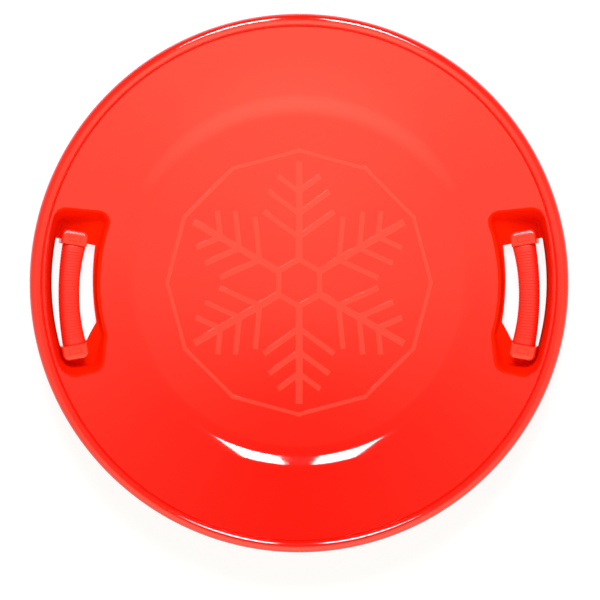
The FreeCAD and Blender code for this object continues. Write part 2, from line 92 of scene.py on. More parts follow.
bay_middle_radius = crease_radius - bay_rim_land - bay_width / 2 * np.cos(bay_tilt)
bay_inner_run = bay_rim_land + bay_width * np.cos(bay_tilt)
bay_floor_level = bead_level - bay_inner_run * np.tan(wall_angle) - bay_inner_depth
bay_floor_level += bay_width / 2 * np.sin(bay_tilt)
bay_middle = bay_middle_radius * np.cos(bay_tilt)
bay_axis_out = bay_middle_radius * np.sin(bay_tilt) ** 2
bay_axis_level = bay_floor_level - bay_middle * np.sin(bay_tilt)
bay_inside, bay_outside = bay_middle - bay_width / 2, bay_middle + bay_width / 2

# The dish is turned in even steps. A patch of its wall between two of them makes way for the right bay, and
# its mirror image for the left one.
round_steps = 480
patch_rings = 20
patch_first, patch_last = -35, 31
patch_span = patch_last - patch_first
patch_in, patch_out, patch_out_under = 0.2425, 0.3156, 0.3172
glossy_skin, dull_skin = 0, 1


def upper_wall(radius):
    """Height of the sloping wall's upper face: a straight line in radius, through the crease."""
    return bead_level + (radius - crease_radius) * np.tan(wall_angle)


def under_wall(radius):
    """Height of the sloping wall's underside: the upper face lowered by the wall, measured upright."""
    return upper_wall(radius) - under_drop


def upper_face(radius):
    """Height of the dish's upper face: flat, then the arc of the bend, then the straight wall."""
    out = np.clip(radius - seat_radius, 0, bend_radius * np.sin(wall_angle))
    return np.maximum(bend_level - np.sqrt(bend_radius**2 - out**2), upper_wall(radius))


def heading(turn):
    """Unit vectors in the plane that point along the given turns."""
    return np.stack([np.cos(turn), np.sin(turn)], -1)


def polar(points):
    """The radius and the turn of points about the upright axis."""
    return np.hypot(points[..., 0], points[..., 1]), np.arctan2(points[..., 1], points[..., 0])


def arc(middle, radius, start, end, steps):
    """Points of a circle about a middle, at even angles from start to end, as (radius, height) pairs."""
    return middle + radius * heading(np.linspace(start, end, steps))


def dish_profile():
    """The dish's section from the axis over the seat, bend, wall and bead, round the skirt's lip and back
    along the underside. The small round in the crease touches the wall and the bead, so its middle lies its
    own radius above the wall and one bead radius more from the bead's middle, which gives a quadratic. With
    the section comes the number of each stretch's first point."""
    seat_steps, bend_steps, crease_steps, bead_steps = 6, 22, 6, 30
    lip_steps, channel_steps, under_steps = 7, 12, 12
    slope, rise = np.cos(wall_angle), np.sin(wall_angle)
    run = bead_radius * slope
    back = run - np.sqrt(run**2 + 2 * bead_radius * crease_round * (1 - rise))
    crease_middle = (
        crease_radius + back * slope - crease_round * rise,
        bead_level + back * rise + crease_round * slope,
    )
    lean = np.arctan2(bead_level - crease_middle[1], bead_middle - crease_middle[0])
    ahead = run - np.sqrt(run**2 - 2 * bead_radius * dish_wall * (1 - rise))
    channel_out = crease_radius + ahead * slope + dish_wall * rise - bead_middle
    channel_up = ahead * rise - dish_wall * slope
    channel_end = np.arctan2(channel_up, channel_out) % (2 * np.pi)
    lip_middle = (rim_radius - dish_wall / 2, bead_level - skirt_drop + dish_wall / 2)
    bend_middle = (seat_radius, bend_level)
    under_radius = bend_radius + dish_wall
    bead = (bead_middle, bead_level)
    seat = np.linspace(0, seat_radius, seat_steps, endpoint=False)
    upper = np.linspace(patch_in, patch_out, patch_rings + 1)
    under = np.linspace(patch_out_under, patch_in, patch_rings + 1)
    quarter = np.pi / 2
    stretches = {
        "seat": np.stack([seat, np.full_like(seat, dish_wall)], -1),
        "bend": arc(bend_middle, bend_radius, -quarter, wall_angle - quarter, bend_steps),
        "upper": np.stack([upper, upper_wall(upper)], -1),
        "crease": arc(crease_middle, crease_round, wall_angle - quarter, lean, crease_steps),
        "bead": arc(bead, bead_radius, np.pi + lean, 0, bead_steps)[1:],
        "lip": arc(lip_middle, dish_wall / 2, 0, -np.pi, lip_steps),
        "channel": arc(bead, bead_radius - dish_wall, 0, channel_end, channel_steps),
        "under": np.stack([under, under_wall(under)], -1),
        "under_bend": arc(bend_middle, under_radius, wall_angle - quarter, -quarter, under_steps),
        "bottom": np.stack([seat[::-1], np.zeros_like(seat)], -1),
    }
    starts = np.cumsum([0] + [len(stretch) for stretch in stretches.values()])
    return np.concatenate(list(stretches.values())), dict(zip(stretches, starts))


def rounded_outline(arcs, cut_arcs, counts):
    """A closed outline of arcs joined by straight lines, as points and outward unit normals. Each arc is
    (middle, signed radius, first and last normal angle, crowding), and its points are the middle plus the
    radius times the normal. The loop starts halfway along the line that closes it. It is cut halfway round
    the arcs numbered in cut_arcs, and each stretch gets its count of points, spaced by length times
    crowding."""
    dense = 80
    middles, radii, firsts, lasts, crowdings = zip(*arcs)
    turn = np.linspace(firsts, lasts, dense, axis=1).ravel()
    point = np.repeat(middles, dense, axis=0) + np.repeat(radii, dense)[:, None] * heading(turn)
    seam = (point[0] + point[-1]) / 2
    point = np.concatenate([[seam], point, [seam]])
    turn = np.concatenate([turn[:1], turn, turn[-1:]])
    crowding = np.concatenate([[1], np.repeat(crowdings, dense), [1]])
    step = np.linalg.norm(np.diff(point, axis=0), axis=1) * np.minimum(crowding[1:], crowding[:-1])
    along = np.concatenate([[0], np.cumsum(step)])
    cuts = [0, *(along[1 + number * dense + (dense - 1) // 2] for number in cut_arcs), along[-1]]
    stretches = zip(cuts[:-1], cuts[1:], counts)
    spaced = np.concatenate(
        [np.linspace(start, end, count, endpoint=False) for start, end, count in stretches]
    )
    outline = np.stack([np.interp(spaced, along, column) for column in point.T], -1)
    return outline, heading(np.interp(spaced, along, turn))


def bay_outline():
    """The edge of the bay's floor in its tilted plan, X outwards and Y to the front: arcs about the bay's
    axis along both long sides, rounded corners, and a slanted corner at the rear that frees the wrist. A
    corner's middle lies on the circle that keeps its round touching the long side. The points are counted
    to match the four sides of the patch."""
    corner_crowding, rear_crowding = 3, 1.5
    front, rear = bay_front - bay_corner, bay_rear - bay_rear_corner
    front_in = np.sqrt((bay_inside + bay_corner) ** 2 - front**2)
    front_out = np.sqrt((bay_outside - bay_corner) ** 2 - front**2)
    rear_out = np.sqrt((bay_outside - bay_rear_corner) ** 2 - rear**2)
    relief = bay_rear - bay_corner
    relief_in = bay_inside + wrist_inset + bay_corner * np.tan(np.pi / 4 - wrist_slant / 2)
    ahead = relief_in * np.sin(wrist_slant) + relief * np.cos(wrist_slant)
    short = relief_in**2 + relief**2 - (bay_inside + bay_corner) ** 2
    length = ahead - np.sqrt(ahead**2 - short)
    wrist_in = relief_in - length * np.sin(wrist_slant)
    wrist = relief - length * np.cos(wrist_slant)
    quarter, half, whole = np.pi / 2, np.pi, 2 * np.pi
    slant = wrist_slant - half
    wrist_turn, front_turn = np.arctan2(wrist, wrist_in), np.arctan2(front, front_in)
    out_front, out_rear = np.arctan2(front, front_out), np.arctan2(rear, rear_out)
    arcs = [
        ((wrist_in, -wrist), bay_corner, slant, -half - wrist_turn, corner_crowding),
        ((0, 0), -bay_inside, -half - wrist_turn, -half + front_turn, 1),
        ((front_in, front), bay_corner, -half + front_turn, -3 * quarter, corner_crowding),
        ((front_out, front), bay_corner, -3 * quarter, out_front - whole, corner_crowding),
        ((0, 0), bay_outside, out_front - whole, -out_rear - whole, 1),
        ((rear_out, -rear), bay_rear_corner, -out_rear - whole, -5 * quarter, rear_crowding),
        ((relief_in, -relief), bay_corner, -5 * quarter, slant - whole, corner_crowding),
    ]
    front_in_arc, front_out_arc, rear_out_arc = 2, 3, 5
    counts = (patch_span, patch_rings, patch_span, patch_rings)
    return rounded_outline(arcs, (front_in_arc, front_out_arc, rear_out_arc), counts)


def slot_outline(edge):
    """The slot's edge, one point for each point of the floor's edge, with the turn and radius held within
    the slot's own. Its inner limit lies further out with the square of the turn, and evenly further along
    the slant at the rear."""
    radius, turn = polar(edge)
    slot_turn = np.clip(turn, -slot_rear_turn, slot_front_turn)
    slant = np.clip((-slot_turn - slot_slant_turn) / (slot_rear_turn - slot_slant_turn), 0, 1)
    slot_inside = bay_inside + slot_ledge + slot_flattening * bay_inside * slot_turn**2
    slot_radius = np.clip(radius, slot_inside + slot_slant_width * slant, bay_outside)
    return slot_radius[:, None] * heading(slot_turn)


def bay_to_sled(plan, level):
    """Bay plan points at a height over the floor, in the sled's frame: the plan is tipped by the tilt about
    the bay's axis, then turned back by the setback."""
    out = bay_axis_out + plan[..., 0] * np.cos(bay_tilt) - level * np.sin(bay_tilt)
    up = bay_axis_level + plan[..., 0] * np.sin(bay_tilt) + level * np.cos(bay_tilt)
    cos, sin = np.cos(-bay_setback), np.sin(-bay_setback)
    return np.stack([out * cos - plan[..., 1] * sin, out * sin + plan[..., 1] * cos, up], -1)


def bay_walls(edge, normal, offset, surface):
    """A function of the level over the floor that gives a loop of the drafted walls, and the levels at which
    they meet the dish's surface, found by halving the interval."""
    halvings = 40

    def loop(level):
        """The floor's edge at its offset, moved out by the level times the tangent of the draft."""
        level = np.broadcast_to(level, len(edge))
        return bay_to_sled(edge + normal * (offset + level * np.tan(bay_draft))[:, None], level)

    low, high = np.zeros(len(edge)), np.full(len(edge), rim_top)
    for _ in range(halvings):
        level = (low + high) / 2
        point = loop(level)
        under = point[:, 2] < surface(polar(point)[0])
        low, high = np.where(under, level, low), np.where(under, high, level)
    return loop, (low + high) / 2


def on_dish(radius, turn, surface):
    """Points on a surface of the dish, at a radius and a turn about the upright axis."""
    return np.stack([radius * np.cos(turn), radius * np.sin(turn), surface(radius)], -1)


def mix(first, second, shares):
    """Loops between two loops, at the given shares of the way."""
    shares = np.asarray(shares)[:, None, None]
    return first * (1 - shares) + second * shares


def bent(first, corner, last, shares):
    """Loops of a quadratic curve from first to last that leaves and arrives along the lines to corner."""
    shares = np.asarray(shares)[:, None, None]
    return first * (1 - shares) ** 2 + corner * 2 * shares * (1 - shares) + last * shares**2


def patch_border(out):
    """The patch's border as (radius, turn): along its inner edge to the front, outwards, back along its
    outer edge and inwards, in the dish's own steps."""
    first, last = (2 * np.pi * step / round_steps for step in (patch_first, patch_last))
    across = np.linspace(patch_in, out, patch_rings + 1)
    along = np.linspace(first, last, patch_span + 1)
    radius = [np.full(patch_span, patch_in), across[:-1], np.full(patch_span, out), across[:0:-1]]
    turn = [along[:-1], np.full(patch_rings, last), along[:0:-1], np.full(patch_rings, first)]
    return np.stack([np.concatenate(radius), np.concatenate(turn)], -1)


def spread_on_dish(border, loop, surface, shares):
    """Loops on the dish's wall between a border of (radius, turn) and a loop, even in radius and turn."""
    between = mix(border, np.stack(polar(loop), -1), shares)
    return on_dish(between[..., 0], between[..., 1], surface)


def bay_surface():
    """One closed strip of loops: from the patch's border on the upper face over the bay's rounded mouth,
    down its walls, across the floor to the slot, through it, and along the bucket's outside to the border on
    the underside. With it comes each face's skin: dull inside the bay, and glossy elsewhere and on the
    mouth's round beside the rim."""
    patch_loops, mouth_loops, wall_loops, foot_loops = 9, 8, 4, 6
    patch_easing, rim_facing = 0.8, 0.5
    edge, normal = bay_outline()
    inner_wall, mouth = bay_walls(edge, normal, 0, upper_wall)
    mouth_loop = inner_wall(mouth)
    reach = np.minimum(mouth_round, mouth_share * (patch_out - polar(mouth_loop)[0]))
    outward = (bay_to_sled(normal, 0.0) - bay_to_sled(normal * 0, 0.0))[:, :2]
    beside = on_dish(*polar(mouth_loop[:, :2] + outward * reach[:, None]), upper_wall)

    slot = slot_outline(edge)
    ledge = np.linalg.norm(edge - slot, axis=1)
    foot = np.minimum(foot_round, foot_share * ledge)
    brink = np.minimum(edge_round, edge_share * ledge)
    toward = (edge - slot) / np.maximum(ledge, edge_round)[:, None]
    foot_loop = bay_to_sled(edge - normal * foot[:, None], 0.0)
    floor_edge = bay_to_sled(slot + toward * brink[:, None], 0.0)

    bucket = dish_wall / np.cos(bay_draft)
    outer_wall, under_mouth = bay_walls(edge, normal, bucket, under_wall)
    under_loop = outer_wall(under_mouth)
    heel = bay_to_sled(edge + normal * (bucket - dish_wall * np.tan(bay_draft)), -dish_wall)

    patch_shares = np.linspace(0, 1, patch_loops) ** patch_easing
    wall_shares = np.linspace(0, 1, wall_loops)
    glossy = spread_on_dish(patch_border(patch_out), beside, upper_wall, patch_shares)
    mouth_bend = bent(beside, mouth_loop, inner_wall(mouth - reach), np.linspace(0, 1, mouth_loops)[1:])
    dull = [
        mouth_bend,
        mix(inner_wall(mouth - reach), inner_wall(foot), wall_shares[1:-1]),
        bent(inner_wall(foot), inner_wall(0.0), foot_loop, np.linspace(0, 1, foot_loops)),
        floor_edge[None],
        bay_to_sled(slot, -brink)[None],
    ]
    outside = [
        bay_to_sled(slot, -dish_wall)[None],
        heel[None],
        mix(heel, under_loop, wall_shares[1:]),
        spread_on_dish(patch_border(patch_out_under), under_loop, under_wall, wall_shares[::-1])[1:],
    ]
    strip = np.concatenate([glossy, *dull, *outside])
    row = np.arange(len(strip) - 1)[:, None]
    dull_first = len(glossy) - 1
    dull_end = dull_first + len(np.concatenate(dull))
    dull_start = np.where(normal[:, 0] > rim_facing, dull_first + len(mouth_bend), dull_first)
    skin = np.where((row >= dull_start) & (row < dull_end), dull_skin, glossy_skin)
    return strip, skin.ravel()


def strip_faces(rows, columns):
    """Corner numbers of the four-sided faces of a grid of points whose last column joins the first."""
    number = np.arange(rows * columns).reshape(rows, columns)
    number = np.concatenate([number, number[:, :1]], 1)
    return np.stack([number[:-1, :-1], number[1:, :-1], number[1:, 1:], number[:-1, 1:]], -1)


def build_piece(name, surfaces, skins=None):
    """An object from surfaces of (points, faces): points that meet are welded, faces are turned outwards,
    and edges sharper than the limit stay crisp. skins gives each face's material where there are several."""
    weld, smooth_below = 1e-6, np.radians(38)
    starts = np.cumsum([0] + [len(points) for points, _ in surfaces])
    points = np.concatenate([points for points, _ in surfaces])
    faces = np.concatenate([faces.reshape(-1, 4) + start for (_, faces), start in zip(surfaces, starts)])
    mesh = bpy.data.meshes.new(name)
    mesh.from_pydata(points.tolist(), [], faces.tolist())
    if skins is not None:
        mesh.polygons.foreach_set("material_index", skins)
    shell = bmesh.new()
    shell.from_mesh(mesh)
    bmesh.ops.remove_doubles(shell, verts=shell.verts, dist=weld)
    bmesh.ops.recalc_face_normals(shell, faces=shell.faces)
    shell.to_mesh(mesh)
    shell.free()
    mesh.shade_smooth()
    mesh.set_sharp_from_angle(angle=smooth_below)
    piece = bpy.data.objects.new(name, mesh)
    bpy.context.scene.collection.objects.link(piece)
    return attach(piece, "root")


def make_dish():
    """The section turned about the upright axis, with a four-sided patch left out on each side for the bays,
    above and below, and the strip of each bay welded in. The left bay mirrors the right one."""
    section, first = dish_profile()
    turn = 2 * np.pi * np.arange(round_steps) / round_steps
    radius, level = (np.repeat(column[:, None], round_steps, axis=1) for column in section.T)
    points = np.stack([radius * np.cos(turn), radius * np.sin(turn), level], -1)
    ring, step = np.mgrid[0 : len(section) - 1, 0:round_steps]
    right = (step - patch_first) % round_steps < patch_span
    left = (step - round_steps // 2 + patch_last) % round_steps < patch_span
    in_band = np.zeros_like(right)
    for band in ("upper", "under"):
        in_band |= (ring >= first[band]) & (ring < first[band] + patch_rings)
    faces = strip_faces(len(section), round_steps)[~(in_band & (right | left))]
    strip, strip_skin = bay_surface()
    surfaces = [(points.reshape(-1, 3), faces)]
    for mirror in (1, -1):
        surfaces.append(((strip * (mirror, 1, 1)).reshape(-1, 3), strip_faces(*strip.shape[:2])))
    skins = np.concatenate([np.full(len(faces), glossy_skin), strip_skin, strip_skin])
    return build_piece("dish", surfaces, skins)


def lean_of_sheen(radius):
    """The angle by which the sheen of the upper face leans in at a radius. The seat leans in proportion to
    the radius, as a very shallow bowl does, the bend turns evenly, and the wall is a little hollow."""
    bend_end = seat_radius + bend_radius * np.sin(wall_angle)
    bend = np.arcsin(np.clip((radius - seat_radius) / bend_radius, 0, np.sin(wall_angle))) / wall_angle
    wall = np.clip((radius - bend_end) / (crease_radius - bend_end), 0, 1)
    seat = seat_hollow * np.minimum(radius / seat_radius, 1)
    return seat + bend * (wall_angle - wall_hollow - seat_hollow) + wall * 2 * wall_hollow


def lean_normals(piece, level, spare):
    """Gives the points of a piece that lie at the level for their radius, within a spare height, the normals
    of the sheen: upright ones that lean towards the axis by its angle."""
    mesh = piece.data
    point = np.empty(3 * len(mesh.vertices))
    mesh.vertices.foreach_get("co", point)
    point = point.reshape(-1, 3)
    radius, around = polar(point)
    lean = lean_of_sheen(radius)[:, None]
    normal = np.concatenate([-np.sin(lean) * heading(around), np.cos(lean)], -1)
    seen = (abs(point[:, 2] - level(radius)) < spare) & (radius < crease_radius)
    mesh.normals_split_custom_set_from_vertices(np.where(seen[:, None], normal, 0).tolist())
    return piece


class Finish:
    """One socket of a material's nodes. Arithmetic on it adds Math nodes, and other() adds any other."""

    def __init__(self, tree, socket=None):
        self.tree, self.socket = tree, socket

    def other(self, kind, settings, sockets, output=0):
        """A node of another kind: its settings first, then the values or links of its sockets. The stops of
        a ramp are pairs of a place and a shade of grey, and a new ramp already has two."""
        node = self.tree.nodes.new(kind)
        for name, setting in settings.items():
            if name == "stops":
                ramp = node.color_ramp
                for place, _ in setting[2:]:
                    ramp.elements.new(place)
                for element, (place, shade) in zip(ramp.elements, sorted(setting)):
                    element.position, element.color = place, (shade, shade, shade, 1)
            else:
                setattr(node, name, setting)
        for key, given in sockets.items():
            if isinstance(given, Finish):
                self.tree.links.new(given.socket, node.inputs[key])
            else:
                node.inputs[key].default_value = given
        return Finish(self.tree, node.outputs[output] if node.outputs else None)

    def maths(self, operation, *values):
        """A Math node on the given values or sockets."""
        return self.other("ShaderNodeMath", {"operation": operation}, dict(enumerate(values)))

    def __add__(self, other):
        return self.maths("ADD", self, other)

    def __radd__(self, other):
        return self.maths("ADD", other, self)

    def __sub__(self, other):
        return self.maths("SUBTRACT", self, other)

    def __rsub__(self, other):
        return self.maths("SUBTRACT", other, self)

    def __mul__(self, other):
        return self.maths("MULTIPLY", self, other)

    def __rmul__(self, other):
        return self.maths("MULTIPLY", other, self)

    def __truediv__(self, other):
        return self.maths("DIVIDE", self, other)

    def __rtruediv__(self, other):
        return self.maths("DIVIDE", other, self)

    def cloud(self, cells, detail):
        """Soft noise from 0 to 1 on the piece's own coordinates, with so many cells to the metre."""
        point = self.other("ShaderNodeTexCoord", {}, {}, "Object")
        sockets = {"Vector": point, "Scale": cells, "Detail": detail}
        return self.other("ShaderNodeTexNoise", {}, sockets, "Fac")


def moulded_plastic(name, colour, paler, roughness, haze, grain, index, shine=0.5):
    """Moulded plastic: a colour that clouds slightly towards a paler one, a roughness that varies by the
    haze, a grain whose height is in metres, and a refractive index that sets how strongly it reflects. A
    shine of a half is that index's own, and none is a dull skin."""
    flow_cells, flow_detail = 7.0, 3.0
    mist_cells, mist_detail, mist_middle = 38.0, 5.0, 0.5
    grain_cells, grain_detail = 900.0, 2.0
    # These are the numbers of the Mix node's two colours and of its result.
    first_colour, second_colour, mixed_colour = 6, 7, 2
    material = bpy.data.materials.new(name)
    material.use_nodes = True
    tree = material.node_tree
    shader = tree.nodes["Principled BSDF"]
    finish = Finish(tree)
    flow = finish.cloud(flow_cells, flow_detail)
    mist = finish.cloud(mist_cells, mist_detail)
    skin = finish.cloud(grain_cells, grain_detail)
    colours = {"Factor": flow, first_colour: (*colour, 1), second_colour: (*paler, 1)}
    clouded = finish.other("ShaderNodeMix", {"data_type": "RGBA"}, colours, mixed_colour)
    varied = roughness + haze * (mist - mist_middle)
    grain_sockets = {"Strength": 1.0, "Distance": grain, "Height": skin}
    bump = finish.other("ShaderNodeBump", {}, grain_sockets, "Normal")
    tree.links.new(clouded.socket, shader.inputs["Base Color"])
    tree.links.new(varied.socket, shader.inputs["Roughness"])
    tree.links.new(bump.socket, shader.inputs["Normal"])
    shader.inputs["IOR"].default_value = index
    shader.inputs["Specular IOR Level"].default_value = shine
    return material


dish_red, dish_red_pale = (0.90, 0.005, 0.001), (0.94, 0.007, 0.002)
bay_red, bay_red_pale = (0.92, 0.013, 0.001), (0.95, 0.016, 0.002)
dish = lean_normals(make_dish(), upper_face, spare=1e-5)
glossy_plastic = moulded_plastic(
    "glossy_red", dish_red, dish_red_pale, roughness=0.06, haze=0.03, grain=4e-6, index=1.75
)
dull_plastic = moulded_plastic(
    "bay_red", bay_red, bay_red_pale, roughness=0.40, haze=0.08, grain=1e-5, index=1.5, shine=0
)
dish.data.materials.append(glossy_plastic)
dish.data.materials.append(dull_plastic)
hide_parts("saucer_shell")

# A snow crystal stands up from the seat by half a millimetre. It is moulded with the dish in the same
# plastic, from a part of the mould that was left satin. Its roughness is that satin skin; its paler base
# colour is painted sheen for the light the satin scatters.
crystal_arms = 6
crystal_rise, crystal_sink, crystal_bevel, crystal_stagger = 0.0005, 0.0003, 0.0006, 0.00006
arm_start, arm_end, arm_width = 0.034, 0.150, 0.0095
branch_places = np.array((0.058, 0.088, 0.116))
branch_lengths = np.array((0.052, 0.044, 0.030))
branch_turn, branch_width = np.radians(54), 0.0075
heart_radius, heart_width = 0.030, 0.0075
border_radius, border_width, border_sides = 0.168, 0.0055, 12


def crystal_strokes():
    """Straight strokes as (start, end, width): each arm runs out from the heart and carries pairs of
    branches, and the heart and the border are even polygons. All arms are turned copies of the first."""
    foot = np.stack([branch_places, np.zeros_like(branch_places)], -1)
    tip = foot + branch_lengths[:, None] * heading(branch_turn)
    starts = np.concatenate([[(arm_start, 0)], foot, foot])
    ends = np.concatenate([[(arm_end, 0)], tip, tip * (1, -1)])
    widths = np.array([arm_width] + [branch_width] * (2 * len(foot)))
    turn = np.pi / 2 + 2 * np.pi * np.arange(crystal_arms) / crystal_arms
    turned = np.stack([heading(turn), heading(turn + np.pi / 2)], 1)
    arm_starts, arm_ends = ((points @ turned).reshape(-1, 2) for points in (starts, ends))
    strokes = [(arm_starts, arm_ends, np.tile(widths, crystal_arms))]
    heart = (heart_radius, heart_width, crystal_arms)
    for radius, width, corners in (heart, (border_radius, border_width, border_sides)):
        ring = radius * heading(np.pi / 2 - 2 * np.pi * np.arange(corners + 1) / corners)
        strokes.append((ring[:-1], ring[1:], np.full(corners, width)))
    return [np.concatenate(column) for column in zip(*strokes)]


def make_crystal():
    """Each stroke is a low bar with bevelled sides: a section of four corners carried from its start to its
    end, both moved out by half its width, and closed across. Each bar is a hair lower than the last one, so
    that no two tops lie in one plane."""
    start, end, width = crystal_strokes()
    along = (end - start) / np.linalg.norm(end - start, axis=1)[:, None]
    across = np.stack([-along[:, 1], along[:, 0]], -1)
    side = np.array((-1, -1, 1, 1))[None, :, None]
    on_top = np.array((0, 1, 1, 0))
    inset = width[:, None, None] / 2 - on_top[None, :, None] * crystal_bevel
    offset = side * inset * across[:, None]
    near = start[:, None] - along[:, None] * inset + offset
    far = end[:, None] + along[:, None] * inset + offset
    hair = np.linspace(0, crystal_stagger, len(start))[:, None]
    level = np.where(on_top, dish_wall + crystal_rise - hair, dish_wall - crystal_sink)
    plan = np.concatenate([near, far], 1)
    points = np.concatenate([plan, np.concatenate([level, level], 1)[..., None]], -1)
    bar = np.array([(0, 1, 5, 4), (1, 2, 6, 5), (2, 3, 7, 6), (3, 0, 4, 7), (3, 2, 1, 0), (4, 5, 6, 7)])
    faces = bar + points.shape[1] * np.arange(len(start))[:, None, None]
    return build_piece("seat_crystal", [(points.reshape(-1, 3), faces)])


# These paler reds are painted sheen: they stand in for the light that the crystal's satin skin scatters.
satin_red_with_painted_sheen, satin_red_pale_with_painted_sheen = (0.91, 0.029, 0.017), (0.94, 0.032, 0.019)
crystal = lean_normals(make_crystal(), lambda radius: dish_wall + crystal_rise, spare=crystal_rise / 4)
satin_plastic_with_painted_sheen = moulded_plastic(
    "satin_red_with_painted_sheen", satin_red_with_painted_sheen, satin_red_pale_with_painted_sheen, roughness=0.18, haze=0.05, grain=1e-5, index=1.75
)
crystal.data.materials.append(satin_plastic_with_painted_sheen)

# Each handle has a curved core of tough red plastic on two legs. A tongue under each leg goes down through
# the bay's floor, and its hook catches below. Only the tongues and hooks show, from underneath.
sides = {"right": 1, "left": -1}
handle_red, handle_red_pale = (0.80, 0.012, 0.004), (0.86, 0.016, 0.005)
handle_plastic = moulded_plastic(
    "handle_red", handle_red, handle_red_pale, roughness=0.24, haze=0.08, grain=8e-6, index=1.5
)
for side in sides:
    for core_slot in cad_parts[f"{side}_handle_bar"].material_slots:
        core_slot.material = handle_plastic

# The grip is a red plastic sleeve round the core, oval and a little waisted on the inner side, with fine
# rings moulded round it so that a wet glove doesn't slip. It is held between the two end caps.
bar_radius, bar_lift = 0.2836, 0.0165
grip_length, grip_width, grip_height = 0.125, 0.026, 0.020
grip_flare = 0.0032
grip_rings, ring_share = 30, 0.86
groove_width, groove_depth = 0.0007, 0.00035
grip_squareness = 2.5
grip_end_round = 0.0008
grip_arc, grip_shift = 0.380, 0.001


def handle_to_sled(plan, level):
    """Handle plan points in the sled's frame: turned about the grip's middle against the bay's setback, so
    that the handle lies straight along the sled, then placed as the bay is."""
    cos, sin = np.cos(bay_setback), np.sin(bay_setback)
    out, ahead = plan[..., 0] - bar_radius, plan[..., 1]
    turned = np.stack([bar_radius + out * cos - ahead * sin, out * sin + ahead * cos], -1)
    return bay_to_sled(turned, level)


def beside_grip(across, ahead, angle):
    """Handle plan points that lie so far across and ahead of the grip's own arc, at an angle along it."""
    cos, sin = np.cos(angle), np.sin(angle)
    out = bar_radius + grip_shift - grip_arc + (grip_arc + across) * cos - ahead * sin
    return np.stack([out, (grip_arc + across) * sin + ahead * cos], -1)


def make_grip(side, mirror):
    """A rounded oval carried along the grip's arc. Its inner side flares with the square of the distance
    from the middle, between the plain ends narrow grooves part it into rings, and a small round closes each
    end. Places along it are shares of its length, from minus a half to a half."""
    around, plain_steps, round_middle = 56, 6, 0.3
    ring_half, groove_half = ring_share / 2, groove_width / 2 / grip_length
    end_round = grip_end_round / grip_length
    grooves = np.linspace(-ring_half, ring_half, grip_rings + 1)
    ringed = (grooves[:, None] + groove_half * np.array((-1, 0, 1))).ravel()
    ringed_shrink = np.tile((0, groove_depth, 0), len(grooves))
    plain = np.linspace(ring_half + groove_half, 0.5 - end_round, plain_steps)[1:]
    tail = np.concatenate([plain, (0.5 - round_middle * end_round, 0.5, 0.5)])
    tail_shrink = np.concatenate([0 * plain, (round_middle * grip_end_round, grip_end_round, np.inf)])
    along = np.concatenate([-tail[::-1], ringed, tail])[:, None]
    shrink = np.concatenate([tail_shrink[::-1], ringed_shrink, tail_shrink])[:, None]
    turn = 2 * np.pi * np.arange(around) / around
    flare = grip_flare / 2 * (2 * along) ** 2
    half_width = np.maximum(grip_width / 2 + flare - shrink, 0)
    half_height = np.maximum(grip_height / 2 - shrink, 0)
    power = 2 / grip_squareness
    across = half_width * np.sign(np.cos(turn)) * abs(np.cos(turn)) ** power - flare
    level = bar_lift + half_height * np.sign(np.sin(turn)) * abs(np.sin(turn)) ** power
    plan = beside_grip(across, 0, along * grip_length / grip_arc)
    points = handle_to_sled(plan, level) * (mirror, 1, 1)
    piece = build_piece(f"{side}_grip", [(points.reshape(-1, 3), strip_faces(*points.shape[:2]))])
    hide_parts(f"{side}_grip_sleeve")
    return piece


grip_red, grip_red_pale = (0.86, 0.010, 0.002), (0.91, 0.014, 0.004)
grip_plastic = moulded_plastic(
    "grip_red", grip_red, grip_red_pale, roughness=0.42, haze=0.08, grain=4e-6, index=1.55
)
for side, mirror in sides.items():
    make_grip(side, mirror).data.materials.append(grip_plastic)

# A cap covers each leg of a handle. It is a small red plastic moulding with rounded far corners, a soft top
# edge and a shallow panel sunk in its top. It drops over the leg and stands on the bay's floor.
cap_width, cap_length, cap_height = 0.032, 0.0185, 0.0295
cap_far_round, cap_near_round, cap_top_round, cap_far_slope = 0.007, 0.001, 0.0026, 0.0068
panel_width, panel_length, panel_depth = 0.015, 0.0065, 0.0006


